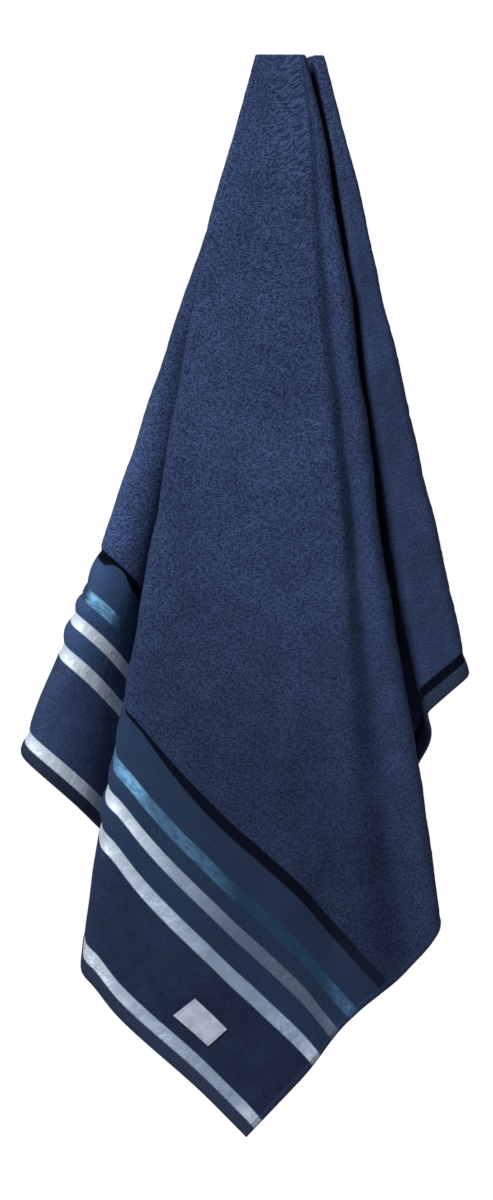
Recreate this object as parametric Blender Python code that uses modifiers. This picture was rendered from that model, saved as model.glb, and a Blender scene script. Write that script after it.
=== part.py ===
"""Hand towel hanging from the middle of one long edge, gathered at the top.

The cloth is one flat rectangle. It hangs from one point of its back selvedge, so it falls as a fan:
every straight line on the cloth from that point is a straight line in the hanging towel too. A place
on the cloth is given by its cloth angle (0 along the back selvedge toward the striped end, 180 along
it toward the plain end) and by its distance from the point. The folds turn the fan back and forth in
plan, and each fold follows one cloth angle all the way down.

Frame: metres, +Z up, the front of the towel faces -Y, the origin is the middle of the top edge.
"""
from collections import namedtuple

import bpy
import numpy as np

# ---------------------------------------------------------------- driving dimensions (metres)
WIDTH = 0.452            # selvedge to selvedge
LENGTH = 0.800           # striped end to plain end
STRIPED_REACH = 0.457    # along the back selvedge, from the hanging point to the striped end
PLAIN_REACH = LENGTH - STRIPED_REACH
SHEET = 0.0020           # terry cloth, pile included

HANG_X = -0.0042         # the point that the fan falls from, over the top edge
HANG_Z = 0.0716

LABEL_LONG = 0.0217      # sewn label, its long side along the striped end
LABEL_SHORT = 0.0130
LABEL_SHEET = 0.0008
LABEL_FROM_SIDE = 0.0575     # its middle, from the front selvedge
LABEL_FROM_END = 0.0250      # its middle, from the striped end
GAP = 0.0003             # between two pieces that touch
LABEL_LIFT = 0.0002      # more room under the label, where the towel swells between two grid rows

CROWDING = 0.35          # how much closer together the grid columns are at the folds
ROWS = 19                # grid steps from the top edge down to the hem
REFERENCE = 0.40         # distance from the hanging point where the folds are measured along the cloth

# ---------------------------------------------------------------- folds, in plan (degrees)
# Seen from the hanging point, "across" is the angle to the right of straight down and "deep" the
# angle away from the front. Each row is one fold, in the order in which the cloth runs.
#   cloth      cloth angle that the fold follows
#   to         direction of the fold's nose in plan: 0 right, 90 back, 180 left, 270 front
#   half       half of the distance between its two legs, 0 for a plain bend or an edge
#   in, out    length of its straight legs before and after the nose
#   steps      grid columns between the fold before and this one
#   take-up    millimetres of cloth gathered above the top edge, which lift the hem by as much
#   top, low   across and deep at the top edge and lower down
Fold = namedtuple("Fold", "name cloth to half leg_in leg_out steps take_up top low")
FOLDS = [Fold(*row) for row in (
    #  name              cloth   to  half   in  out steps take-up  top            low
    ("back edge",          0.0,   0, 0.0, 0.0, 0.0, 0, 10.0, (-5.6, 6.2), (-6.6, 6.4)),
    ("left edge fold",    16.0, 187, 1.3, 1.6, 3.1, 9, 13.0, (-9.6, 3.2), (-17.2, 0.6)),
    ("left inner fold",   27.5,  20, 1.4, 1.0, 1.0, 9, 6.0, (-5.7, 0.8), (-9.1, 2.3)),
    ("front left fold",   34.6, 180, 2.3, 1.3, 1.2, 8, 0.0, (-10.3, -4.8), (-11.1, -4.9)),
    ("front crown",       44.7, 270, 0.0, 0.0, 0.0, 8, 0.0, (-1.7, -6.8), (-1.3, -8.3)),
    ("front ridge",       51.1, 275, 0.3, 0.0, 0.0, 6, 0.0, (7.0, -7.1), (4.6, -8.0)),
    ("front right fold",  57.2,   0, 1.3, 0.0, 2.6, 6, 0.0, (9.0, -4.8), (8.8, -5.7)),
    ("middle turn",       70.7, 200, 1.2, 0.0, 0.0, 7, 0.0, (-2.7, -3.2), (-3.9, -3.2)),
    ("back pleat 1",      84.0,  98, 1.4, 2.4, 2.4, 7, 0.0, (-1.6, 8.0), (-3.1, 8.8)),
    ("front pleat 1",     95.5, 272, 1.3, 2.4, 2.4, 8, 0.0, (1.0, -0.9), (0.3, -0.8)),
    ("back pleat 2",     107.0,  88, 1.2, 2.4, 2.4, 8, 0.0, (3.5, 8.0), (2.4, 7.4)),
    ("front pleat 2",    118.5, 266, 1.3, 2.4, 2.4, 8, 0.0, (6.0, -0.9), (4.9, -1.3)),
    ("back pleat 3",     129.0,  76, 1.4, 2.4, 2.4, 9, 0.0, (9.8, 6.6), (7.2, 7.4)),
    ("panel return",    138.2,   0, 0.0, 0.0, 0.0, 5, 0.0, (11.6, 1.8), (8.4, 0.4)),
    ("right panel bend", 142.6, 172, 1.6, 0.0, 0.0, 5, 0.0, (12.6, -2.2), (10.1, -3.0)),
    ("right edge fold",  146.8,   0, 1.1, 1.4, 0.0, 5, 0.0, (16.6, -2.2), (13.8, -2.9)),
    ("back wrap",        159.0,  50, 2.0, 0.0, 0.0, 7, 0.0, (13.2, 10.0), (10.6, 10.6)),
    ("far edge",         180.0,   0, 0.0, 0.0, 0.0, 9, 0.0, (-9.0, 9.4), (-10.3, 9.6)),
)]
TOP_OF_FOLDS = 0.075     # distances from the hanging point between which the folds shift
LOW_OF_FOLDS = 0.300
LEGS_AT_TOP = 0.6        # share of their length that the legs have at the top edge

# The folds that form the outline, the gap at the right and the front panel's ridge, followed more
# closely: "across" at each distance.
LINE_RADII = (0.07, 0.11, 0.15, 0.20, 0.26, 0.34, 0.44, 0.60)
FOLD_LINES = {
    "left edge fold":   (-9.6, -11.6, -13.0, -14.15, -15.2, -16.0, -17.15, -17.7),
    "front left fold":  (-10.3, -11.9, -12.8, -12.7, -12.1, -11.5, -11.2, -10.6),
    "front ridge":      (6.9, 6.9, 5.6, 5.0, 5.2, 5.1, 4.5, 4.1),
    "front right fold": (9.0, 10.5, 10.1, 9.9, 9.35, 8.75, 8.85, 8.55),
    "right panel bend": (13.2, 12.9, 12.1, 11.2, 10.3, 9.7, 10.25, 10.7),
    "right edge fold":  (16.7, 15.8, 15.5, 14.75, 14.15, 13.85, 13.85, 13.8),
}

# Soft ridges and troughs down the front panel. Each follows one cloth angle, between two
# distances from the hanging point, and is highest halfway. "before" and "after" are its widths in
# degrees of the cloth to either side, height is toward the front, and "aside" is how many degrees
# it draws the cloth to the right, or to the left below 0.
Crease = namedtuple("Crease", "name cloth before after start end height aside")
CREASES = [Crease(*row) for row in (
    #  name            cloth before after start   end   height   aside
    ("left swell",      39.6,  3.4,  3.4, 0.070, 0.420, 0.0012,  0.0),
    ("right groove",    52.9,  1.9,  2.3, 0.060, 0.640, -0.0070, 0.0),
    ("groove foot",     53.9,  2.2,  2.6, 0.340, 0.740, -0.0105, 0.0),
    ("lower hollow",    48.6,  8.0,  7.0, 0.380, 0.700, -0.0130, 0.0),
    ("corner swell",    47.6,  3.2,  3.2, 0.330, 0.800, 0.0024,  0.0),
    ("drawn-in left",   39.0,  2.6,  4.0, 0.360, 0.820, 0.0,    -0.50),
    ("drawn-in right",  50.8,  3.4,  3.0, 0.360, 0.820, 0.0,    -0.50),
)]

TOWEL_BLUE = (0.026, 0.049, 0.125, 1.0)
LABEL_GREY = (0.48, 0.50, 0.54, 1.0)


# ---------------------------------------------------------------- the fan
def ease(value, low, high):
    """0 below low, 1 above high and an S-curve between them."""
    step = np.clip((value - low) / (high - low), 0.0, 1.0)
    return step * step * (3.0 - 2.0 * step)


def along_table(value, stations, entries):
    """A smooth curve through a table: cubic pieces whose slopes are those of the table."""
    stations = np.asarray(stations)
    entries = np.asarray(entries)
    slopes = np.gradient(entries, stations)
    value = np.clip(value, stations[0], stations[-1])
    piece = np.clip(np.searchsorted(stations, value) - 1, 0, len(stations) - 2)
    span = stations[piece + 1] - stations[piece]
    t = (value - stations[piece]) / span
    start = (2 * t**3 - 3 * t**2 + 1) * entries[piece] + (t**3 - 2 * t**2 + t) * span * slopes[piece]
    end = (3 * t**2 - 2 * t**3) * entries[piece + 1] + (t**3 - t**2) * span * slopes[piece + 1]
    return start + end


def fold_sides():
    """+1 or -1 for each fold: the side of its nose on which the cloth comes in."""
    sides = [1.0]
    for before, fold, after in zip(FOLDS, FOLDS[1:], FOLDS[2:]):
        nose = np.radians(fold.to)
        left = np.array((-np.sin(nose), np.cos(nose)))
        turn = np.dot(np.subtract(after.low, before.low), left)
        sides.append(1.0 if turn > 0 else -1.0)
    return sides + [1.0]


def guide_points(radius):
    """The guide polygon of the plan at each distance from the hanging point, in degrees.

    A fold gives its two nose points and its leg ends, which are nearer at the top edge, and a plain
    bend or an edge gives one point. Returns the points, shaped (..., points, 2), and the place of
    each fold's nose among them.
    """
    shift = ease(radius, TOP_OF_FOLDS, LOW_OF_FOLDS)
    legs = LEGS_AT_TOP + (1.0 - LEGS_AT_TOP) * shift
    points = []
    noses = []
    for fold, side in zip(FOLDS, fold_sides()):
        across = fold.top[0] + (fold.low[0] - fold.top[0]) * shift
        if fold.name in FOLD_LINES:
            across = along_table(radius, LINE_RADII, FOLD_LINES[fold.name])
        deep = fold.top[1] + (fold.low[1] - fold.top[1]) * shift
        if fold.half == 0.0:
            local = [(0.0, 0.0)]
            noses.append(float(len(points)))
        else:
            local = [(0.0, -fold.half * side), (0.0, fold.half * side)]
            noses.append(len(points) + (1.5 if fold.leg_in else 0.5))
            if fold.leg_in:
                local.insert(0, (-fold.leg_in * legs, -fold.half * side))
            if fold.leg_out:
                local.append((-fold.leg_out * legs, fold.half * side))
        nose = np.radians(fold.to)
        for ahead, aside in local:
            points.append(np.stack((across + np.cos(nose) * ahead - np.sin(nose) * aside,
                                    deep + np.sin(nose) * ahead + np.cos(nose) * aside), axis=-1))
    return np.stack(points, axis=-2), np.array(noses)


def guide_weights(place, count):
    """Weights of a quadratic B-spline through count guide points, at places 0 to count - 1."""
    corner = np.clip(np.rint(place), 1, count - 2).astype(int)
    first = corner == 1
    last = corner == count - 2
    start = np.where(first, 0.0, corner - 0.5)
    end = np.where(last, count - 1.0, corner + 0.5)
    t = (place - start) / (end - start)
    before = (1 - t) ** 2
    middle = 2 * t * (1 - t)
    after = t ** 2
    row = np.arange(len(place))
    weights = np.zeros((len(place), count))
    weights[row, corner - 1] += before * np.where(first, 1.0, 0.5)
    weights[row, corner] += middle + before * np.where(first, 0.0, 0.5) + after * np.where(last, 0.0, 0.5)
    weights[row, corner + 1] += after * np.where(last, 1.0, 0.5)
    return weights


def place_on_guide(cloth):
    """Where each cloth angle lies along the guide: even along the cloth from fold to fold."""
    guide, noses = guide_points(np.array(REFERENCE))
    dense = np.linspace(0.0, len(guide) - 1.0, 40 * len(guide))
    path = guide_weights(dense, len(guide)) @ guide
    run = np.concatenate(([0.0], np.cumsum(np.hypot(*np.diff(path, axis=0).T))))
    fold_run = np.interp(noses, dense, run)
    fold_cloth = [fold.cloth for fold in FOLDS]
    return np.interp(np.interp(cloth, fold_cloth, fold_run), run, dense)


def hem_radius(cloth):
    """Distance from the hanging point to the cloth's edge: striped end, front selvedge, plain end."""
    angle = np.radians(cloth)
    tiny = 1e-9
    striped = STRIPED_REACH / np.maximum(np.cos(angle), tiny)
    plain = PLAIN_REACH / np.maximum(-np.cos(angle), tiny)
    side = WIDTH / np.maximum(np.sin(angle), tiny)
    return np.minimum(np.minimum(striped, plain), side)


def take_up(cloth):
    """Length of cloth gathered above the top edge at each cloth angle."""
    return 0.001 * np.interp(cloth, [fold.cloth for fold in FOLDS], [fold.take_up for fold in FOLDS])


def relief(cloth, radius):
    """How far the creases push the cloth to the front at each point, and draw it aside in degrees."""
    height = np.zeros(np.broadcast(cloth, radius).shape)
    drawn = np.zeros(height.shape)
    for crease in CREASES:
        beside = cloth - crease.cloth
        beside = np.clip(beside / np.where(beside < 0, crease.before, crease.after), -1.0, 1.0)
        along = np.clip((radius - crease.start) / (crease.end - crease.start), 0.0, 1.0)
        share = np.cos(beside * np.pi / 2) ** 2 * np.sin(along * np.pi) ** 2
        height = height + crease.height * share
        drawn = drawn + crease.aside * share
    return height, drawn


def hang(cloth, radius):
    """The hanging place of points of the cloth, as an array of x, y, z.

    cloth is one angle a column and radius, shaped (rows, columns), is the distance from the hanging
    point. The guide polygon at that distance, blended by the column's weights, gives the two plan
    angles, and the point lies in that direction at that distance. The creases come on top.
    """
    guide, noses = guide_points(radius)
    weights = guide_weights(place_on_guide(cloth), guide.shape[-2])
    height, drawn = relief(cloth, radius)
    plan = np.einsum("rcpk,cp->rck", guide, weights)
    x = radius * np.sin(np.radians(plan[..., 0] + drawn))
    y = radius * np.sin(np.radians(plan[..., 1])) - height
    z = np.sqrt(radius**2 - x**2 - y**2)
    return np.stack((HANG_X + x, y, HANG_Z - z), axis=-1)


def top_radius(cloth):
    """Distance from the hanging point at which each column crosses the level top edge."""
    radius = np.full((1, len(cloth)), HANG_Z)
    for step in range(3):
        drop = HANG_Z - hang(cloth, radius)[..., 2]
        radius = radius * HANG_Z / drop
    return radius[0]


def columns():
    """Cloth angle of every grid column: closer together at the folds, and one at each corner."""
    angles = [FOLDS[0].cloth]
    for before, fold in zip(FOLDS, FOLDS[1:]):
        even = np.arange(1, fold.steps + 1) / fold.steps
        crowded = even - CROWDING * np.sin(2 * np.pi * even) / (2 * np.pi)
        angles.extend(before.cloth + (fold.cloth - before.cloth) * crowded)
    angles = np.array(angles)
    for corner in (np.degrees(np.arctan2(WIDTH, STRIPED_REACH)),
                   180.0 - np.degrees(np.arctan2(WIDTH, PLAIN_REACH))):
        angles[np.argmin(np.abs(angles - corner))] = corner
    return angles


def towel_grid():
    """Points of the cloth's middle surface, (rows, columns, 3), from the top edge to the hem."""
    cloth = columns()
    top = top_radius(cloth)
    hem = hem_radius(cloth) - take_up(cloth)
    down = np.linspace(0.0, 1.0, ROWS + 1)[:, None]
    return hang(cloth, top + (hem - top) * down)


def label_grid():
    """Middle surface of the label: a flat-cloth rectangle laid on the front of the hanging towel."""
    along = np.linspace(-0.5, 0.5, 5) * LABEL_LONG
    up = np.linspace(-0.5, 0.5, 4) * LABEL_SHORT
    from_side, from_end = np.meshgrid(LABEL_FROM_SIDE + along, LABEL_FROM_END + up)
    beside = WIDTH - from_side
    below = STRIPED_REACH - from_end
    cloth = np.degrees(np.arctan2(beside, below)).ravel()
    radius = np.hypot(beside, below).ravel()
    place = np.stack([hang(cloth[i:i + 1], radius[i:i + 1, None])[0, 0] for i in range(len(cloth))])
    place = place.reshape(from_side.shape + (3,))
    rows, cols = np.gradient(place, axis=(0, 1))
    outward = np.cross(rows, cols)
    outward /= np.linalg.norm(outward, axis=-1, keepdims=True)
    outward *= -np.sign(outward[..., 1:2])
    return place + outward * (SHEET / 2 + GAP + LABEL_LIFT + LABEL_SHEET / 2)


# ---------------------------------------------------------------- Blender objects
def material(name, colour, roughness):
    surface = bpy.data.materials.new(name)
    surface.use_nodes = True
    shader = surface.node_tree.nodes["Principled BSDF"]
    shader.inputs["Base Color"].default_value = colour
    shader.inputs["Roughness"].default_value = roughness
    return surface


def sheet(name, grid, thickness, surface, collection):
    """An open sheet through a grid of points, given its thickness by Solidify, half on each side."""
    rows, cols = grid.shape[:2]
    number = np.arange(rows * cols).reshape(rows, cols)
    faces = np.stack((number[:-1, :-1], number[1:, :-1], number[1:, 1:], number[:-1, 1:]), axis=-1)
    mesh = bpy.data.meshes.new(name)
    mesh.from_pydata(grid.reshape(-1, 3).tolist(), [], faces.reshape(-1, 4).tolist())
    mesh.materials.append(surface)
    mesh.shade_smooth()
    piece = bpy.data.objects.new(name, mesh)
    collection.objects.link(piece)
    solid = piece.modifiers.new("thickness", "SOLIDIFY")
    solid.thickness = thickness
    solid.offset = 0.0
    solid.use_even_offset = True
    solid.use_rim = True
    return piece


def main():
    for old in list(bpy.data.objects):
        bpy.data.objects.remove(old, do_unlink=True)
    parts = bpy.data.collections.new("hand_towel")
    bpy.context.scene.collection.children.link(parts)
    sheet("towel", towel_grid(), SHEET, material("towel_terry", TOWEL_BLUE, 0.9), parts)
    sheet("label", label_grid(), LABEL_SHEET, material("label_tape", LABEL_GREY, 0.6), parts)


main()
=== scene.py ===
"""Hand towel hanging from the middle of one long edge: its looks.

The cloth is one flat rectangle that falls as a fan from a point over the middle of its top edge. A place on
it is given in two ways: by its cloth angle (0 along the back selvedge toward the striped end, 180 along it
toward the plain end) and its distance from the hanging point, or flat, by its distance from the front
selvedge and from the striped end. Everything is in metres, +Z up, and the front faces -Y.
"""

from collections import namedtuple
from functools import reduce

import bpy
import numpy as np
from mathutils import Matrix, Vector


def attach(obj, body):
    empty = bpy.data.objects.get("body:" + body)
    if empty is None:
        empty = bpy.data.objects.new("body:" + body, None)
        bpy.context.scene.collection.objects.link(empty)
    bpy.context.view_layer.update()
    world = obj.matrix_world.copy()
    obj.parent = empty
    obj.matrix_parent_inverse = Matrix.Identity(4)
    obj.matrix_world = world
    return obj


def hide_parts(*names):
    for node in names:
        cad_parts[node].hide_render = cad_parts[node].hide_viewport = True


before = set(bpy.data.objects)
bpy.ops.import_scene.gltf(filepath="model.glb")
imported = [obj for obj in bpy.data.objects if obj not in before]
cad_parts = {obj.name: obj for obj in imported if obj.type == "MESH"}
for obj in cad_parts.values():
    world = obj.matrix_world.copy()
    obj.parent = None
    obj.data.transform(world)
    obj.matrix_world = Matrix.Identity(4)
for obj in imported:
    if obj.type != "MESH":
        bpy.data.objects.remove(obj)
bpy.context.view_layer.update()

# ---------------- camera, lights and floor
CAMERA_DISTANCE = 3.0
CAMERA_X = -0.023055
CAMERA_Z = -0.28832
FRAME_HEIGHT = 0.636         # what the frame shows, top to bottom, where the towel hangs
SENSOR = 36.0

AMBIENT = 0.17               # strength of the even light from all round
# Area lights: place, the point that they face, size, power in watts.
LIGHTS = {
    "key_upper_left": ((-0.72, -1.00, 0.92), (0.0, 0.0, 0.12), (0.5, 0.6), 31.0),
    "fill_right":     ((1.90, -1.70, 0.10), (0.0, 0.0, -0.20), (1.2, 1.6), 4.5),
    "rim_behind":     ((0.60, 2.20, 0.70), (0.0, 0.0, -0.30), (1.4, 1.4), 22.0),
}

FLOOR_Z = -0.80
FLOOR_MIDDLE = 0.02          # distance of the floor's first ring from its middle
FLOOR_CLEAR, FLOOR_GONE = 0.55, 1.30     # the floor fades out between these distances from its middle
FLOOR_EDGE = 1.35


def placed(name, data):
    """A new object in the scene that holds this data."""
    made = bpy.data.objects.new(name, data)
    bpy.context.scene.collection.objects.link(made)
    return made


def photo_camera():
    """A level camera straight in front; its lens makes the frame FRAME_HEIGHT high at the towel."""
    lens = bpy.data.cameras.new("photo_camera")
    lens.sensor_width = SENSOR
    lens.lens = SENSOR * CAMERA_DISTANCE / FRAME_HEIGHT
    camera = placed("photo_camera", lens)
    camera.location = (CAMERA_X, -CAMERA_DISTANCE, CAMERA_Z)
    camera.rotation_euler = (np.pi / 2, 0.0, 0.0)
    bpy.context.scene.camera = camera


def soft_light(name, place, aim, size, power):
    """A white area light at place that faces aim. power / (pi * distance)**2 is its share of full light."""
    lamp = bpy.data.lights.new(name, "AREA")
    lamp.shape = "RECTANGLE"
    lamp.size, lamp.size_y = size
    lamp.energy = power
    light = placed(name, lamp)
    light.location = place
    light.rotation_euler = (Vector(aim) - Vector(place)).to_track_quat("-Z", "Y").to_euler()


def white_studio(ambient):
    """A world that the camera sees as white and that lights the towel evenly with the ambient strength."""
    world = bpy.data.worlds.new("white_studio")
    bpy.context.scene.world = world
    world.use_nodes = True
    nodes, links = world.node_tree.nodes, world.node_tree.links
    out = next(node for node in nodes if node.type == "OUTPUT_WORLD")
    seen = next(node for node in nodes if node.type == "BACKGROUND")
    seen.inputs["Color"].default_value = (1.0, 1.0, 1.0, 1.0)
    seen.inputs["Strength"].default_value = 1.0
    glow = nodes.new("ShaderNodeBackground")
    glow.inputs["Color"].default_value = (0.93, 0.96, 1.0, 1.0)
    glow.inputs["Strength"].default_value = ambient
    path = nodes.new("ShaderNodeLightPath")
    mix = nodes.new("ShaderNodeMixShader")
    links.new(path.outputs["Is Camera Ray"], mix.inputs["Fac"])
    links.new(glow.outputs["Background"], mix.inputs[1])
    links.new(seen.outputs["Background"], mix.inputs[2])
    links.new(mix.outputs["Shader"], out.inputs["Surface"])


photo_camera()
bpy.context.scene.view_settings.view_transform = "Standard"
white_studio(AMBIENT)
for name, lamp in LIGHTS.items():
    soft_light(name, *lamp)

# ---------------- the flat cloth
WIDTH = 0.452                # selvedge to selvedge
LENGTH = 0.800               # striped end to plain end
STRIPED_REACH = 0.457        # along the back selvedge, from the hanging point to the striped end
PLAIN_REACH = LENGTH - STRIPED_REACH
HANG_X = -0.0042             # the point that the fan falls from, over the top edge
HANG_Z = 0.0716
REFERENCE = 0.40             # distance from the hanging point where the folds are measured along the cloth

TERRY_HALF = 0.00115         # half thicknesses of the cloth
FLAT_HALF = 0.00070
HEM_HALF = 0.00115
SELVEDGE_HALF = 0.00125
PRESSED_HALF = 0.00085       # along the stitches of the selvedges
SIDE_HEM = 0.0030            # width of the turned selvedges
PRESSED_WIDTH = 0.0018
STEP_SOFT = 0.0012           # width over which one thickness gives way to the next
LOOP_HEIGHT = 0.0001         # fine unevenness of the pile

# The woven border, by distance from the striped end. "stands" is how far a band stands out of the
# cloth's middle where it turns over a fold.
Band = namedtuple("Band", "name start end half stands")
BANDS = [Band(*row) for row in (
    #  name             start   end     half       stands
    ("turned hem",      0.0000, 0.0064, HEM_HALF,  0.0005),
    ("first silver",    0.0064, 0.0130, FLAT_HALF, -0.0004),
    ("label band",      0.0130, 0.0541, TERRY_HALF, 0.0008),
    ("second silver",   0.0541, 0.0612, FLAT_HALF, -0.0006),
    ("plain band 1",    0.0612, 0.0721, FLAT_HALF, 0.0016),
    ("third silver",    0.0721, 0.0784, FLAT_HALF, -0.0006),
    ("plain band 2",    0.0784, 0.0862, FLAT_HALF, 0.0014),
    ("blue stripe",     0.0862, 0.0926, FLAT_HALF, 0.0006),
    ("plain band 3",    0.0926, 0.1078, FLAT_HALF, 0.0014),
    ("black stripe",    0.1078, 0.1134, FLAT_HALF, -0.0008),
)]
BAND = {band.name: band for band in BANDS}
BORDER = BANDS[-1].end
STRIPES_START = BAND["second silver"].start
ARCH = 0.8                   # power of the sine that a band stands out by: below 1 makes it fuller
PLAIN_END_HEM = 0.0064       # the plain end has only its hem and one black stripe
PLAIN_END_STRIPE = 0.0110

# ---------------- folds, in plan (degrees)
# Seen from the hanging point, "across" is the angle to the right of straight down and "deep" the
# angle away from the front. Each row is one fold, in the order in which the cloth runs.
#   cloth      cloth angle that the fold follows
#   to         direction of the fold's nose in plan: 0 right, 90 back, 180 left, 270 front
#   half       half of the distance between its two legs, 0 for a plain bend or an edge
#   in, out    length of its straight legs before and after the nose
#   steps      grid columns between the fold before and this one
#   take-up    millimetres of cloth gathered above the top edge, which lift the hem by as much
#   top, low   across and deep at the top edge and lower down
Fold = namedtuple("Fold", "name cloth to half leg_in leg_out steps take_up top low")
FOLDS = [Fold(*row) for row in (
    #  name              cloth   to  half   in  out steps take-up  top            low
    ("back edge",          0.0,   0, 0.0, 0.0, 0.0, 0, 10.0, (-5.6, 6.2), (-6.6, 6.4)),
    ("left edge fold",    16.0, 187, 1.3, 1.6, 3.1, 26, 13.0, (-9.6, 3.2), (-17.2, 0.6)),
    ("left inner fold",   27.5,  20, 1.4, 1.0, 1.0, 24, 6.0, (-5.7, 0.8), (-9.1, 2.3)),
    ("front left fold",   34.6, 180, 2.3, 1.3, 1.2, 20, 0.0, (-10.3, -4.8), (-11.1, -4.9)),
    ("front crown",       44.7, 270, 0.0, 0.0, 0.0, 30, 0.0, (-1.7, -6.8), (-1.3, -8.3)),
    ("front ridge",       51.1, 275, 0.3, 0.0, 0.0, 20, 0.0, (7.0, -7.1), (4.6, -8.0)),
    ("front right fold",  57.2,   0, 1.3, 0.0, 2.6, 18, 0.0, (9.0, -4.8), (8.8, -5.7)),
    ("middle turn",       70.7, 200, 1.2, 0.0, 0.0, 18, 0.0, (-2.7, -3.2), (-3.9, -3.2)),
    ("back pleat 1",      84.0,  98, 1.4, 2.4, 2.4, 17, 0.0, (-1.6, 8.0), (-3.1, 8.8)),
    ("front pleat 1",     95.5, 272, 1.3, 2.4, 2.4, 17, 0.0, (1.0, -0.9), (0.3, -0.8)),
    ("back pleat 2",     107.0,  88, 1.2, 2.4, 2.4, 17, 0.0, (3.5, 8.0), (2.4, 7.4)),
    ("front pleat 2",    118.5, 266, 1.3, 2.4, 2.4, 17, 0.0, (6.0, -0.9), (4.9, -1.3)),
    ("back pleat 3",     129.0,  76, 1.4, 2.4, 2.4, 17, 0.0, (9.8, 6.6), (7.2, 7.4)),
    ("panel return",    138.2,   0, 0.0, 0.0, 0.0, 14, 0.0, (11.6, 1.8), (8.4, 0.4)),
    ("right panel bend", 142.6, 172, 1.6, 0.0, 0.0, 12, 0.0, (12.6, -2.2), (10.1, -3.0)),
    ("right edge fold",  146.8,   0, 1.1, 1.4, 0.0, 14, 0.0, (16.6, -2.2), (13.8, -2.9)),
    ("back wrap",        159.0,  50, 2.0, 0.0, 0.0, 18, 0.0, (13.2, 10.0), (10.6, 10.6)),
    ("far edge",         180.0,   0, 0.0, 0.0, 0.0, 20, 0.0, (-9.0, 9.4), (-10.3, 9.6)),
)]
TOP_OF_FOLDS = 0.075         # distances from the hanging point between which the folds shift
LOW_OF_FOLDS = 0.300
LEGS_AT_TOP = 0.6            # share of their length that the legs have at the top edge

# The border's bands stand out most at the two left folds: degrees of cloth over which they do so.
STANDS_OVER = {"left edge fold": 5.0, "front left fold": 3.0}
STANDS_FLAT = 0.25           # share of that height on the flat panels

# At the top edge the folds press the cloth thinner. Both grow to 1 between two distances.
SQUEEZED = 0.75              # share of the thickness that is left there
SQUEEZE_FROM, SQUEEZE_TO = 0.07, 0.16
WAVES_FROM, WAVES_TO = 0.09, 0.20

# The folds that form the outline, the gap at the right and the front panel's ridge, followed more
# closely: "across" at each distance.
LINE_RADII = (0.07, 0.11, 0.15, 0.20, 0.26, 0.34, 0.44, 0.60)
FOLD_LINES = {
    "left edge fold":   (-9.6, -11.6, -13.0, -14.15, -15.2, -16.0, -17.15, -17.7),
    "front left fold":  (-10.3, -11.9, -12.8, -12.7, -12.1, -11.5, -11.2, -10.6),
    "front ridge":      (6.9, 6.9, 5.6, 5.0, 5.2, 5.1, 4.5, 4.1),
    "front right fold": (9.0, 10.5, 10.1, 9.9, 9.35, 8.75, 8.85, 8.55),
    "right panel bend": (13.2, 12.9, 12.1, 11.2, 10.3, 9.7, 10.25, 10.7),
    "right edge fold":  (16.7, 15.8, 15.5, 14.75, 14.15, 13.85, 13.85, 13.8),
}

# Soft ridges and troughs down the front panel. Each follows one cloth angle, between two distances from
# the hanging point, and is highest halfway. "before" and "after" are its widths in degrees of the cloth
# to either side, height is toward the front, and "aside" is how many degrees it draws the cloth to the
# right, or to the left below 0.
Crease = namedtuple("Crease", "name cloth before after start end height aside")
CREASES = [Crease(*row) for row in (
    #  name            cloth before after start   end   height   aside
    ("left swell",      39.6,  3.4,  3.4, 0.070, 0.420, 0.0012,  0.0),
    ("right groove",    52.9,  1.9,  2.3, 0.060, 0.640, -0.0070, 0.0),
    ("groove foot",     53.9,  2.2,  2.6, 0.340, 0.740, -0.0105, 0.0),
    ("lower hollow",    48.6,  8.0,  7.0, 0.380, 0.700, -0.0130, 0.0),
    ("corner swell",    47.6,  3.2,  3.2, 0.330, 0.800, 0.0024,  0.0),
    ("drawn-in left",   39.0,  2.6,  4.0, 0.360, 0.820, 0.0,    -0.50),
    ("drawn-in right",  50.8,  3.4,  3.0, 0.360, 0.820, 0.0,    -0.50),
)]

# Gentle unevenness over the whole cloth: waves of a length, a direction over the flat cloth in degrees,
# a start and a height, which add up.
Wave = namedtuple("Wave", "length direction start height")
WAVES = [Wave(*row) for row in (
    #  length direction start height
    (0.083,   12.0,     0.4,  0.00040),
    (0.061,   71.0,     1.9,  0.00034),
    (0.047,  128.0,     3.1,  0.00026),
    (0.033,   40.0,     5.2,  0.00016),
    (0.027,  155.0,     0.8,  0.00012),
)]

LABEL_LONG = 0.0217          # the sewn label, its long side along the striped end
LABEL_SHORT = 0.0130
LABEL_HALF = 0.00032
LABEL_FROM_SIDE = 0.0575
LABEL_FROM_END = 0.0250
LABEL_BULGE = 0.00045        # how far its middle stands off more than its sewn edges
BULGE_FROM, BULGE_TO = 0.0006, 0.0045
GAP = 0.0003

# The grid of the towel.
CROWDING = 0.40              # share by which columns are closer together at the folds than halfway
SELVEDGE_COLUMNS = np.array((0.04, 0.12, 0.28))      # extra ones beside the back selvedges, in degrees
EDGE_ROWS = np.array((0.0, 0.00015, 0.0005, 0.0012))     # distances of the close rows at an edge
ABOVE_BORDER = np.array((0.0080, 0.0050, 0.0025))        # distances of three rows above the border
BORDER_STEP = 0.0022         # distance from row to row along the border, about
BODY_ROWS = 84
LOOPS_SEED = 11


# ---------------- the fan
def ease(value, low, high):
    """0 below low, 1 above high and the S-curve 3s^2 - 2s^3 between them."""
    step = np.clip((value - low) / (high - low), 0.0, 1.0)
    return step * step * (3.0 - 2.0 * step)


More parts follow.
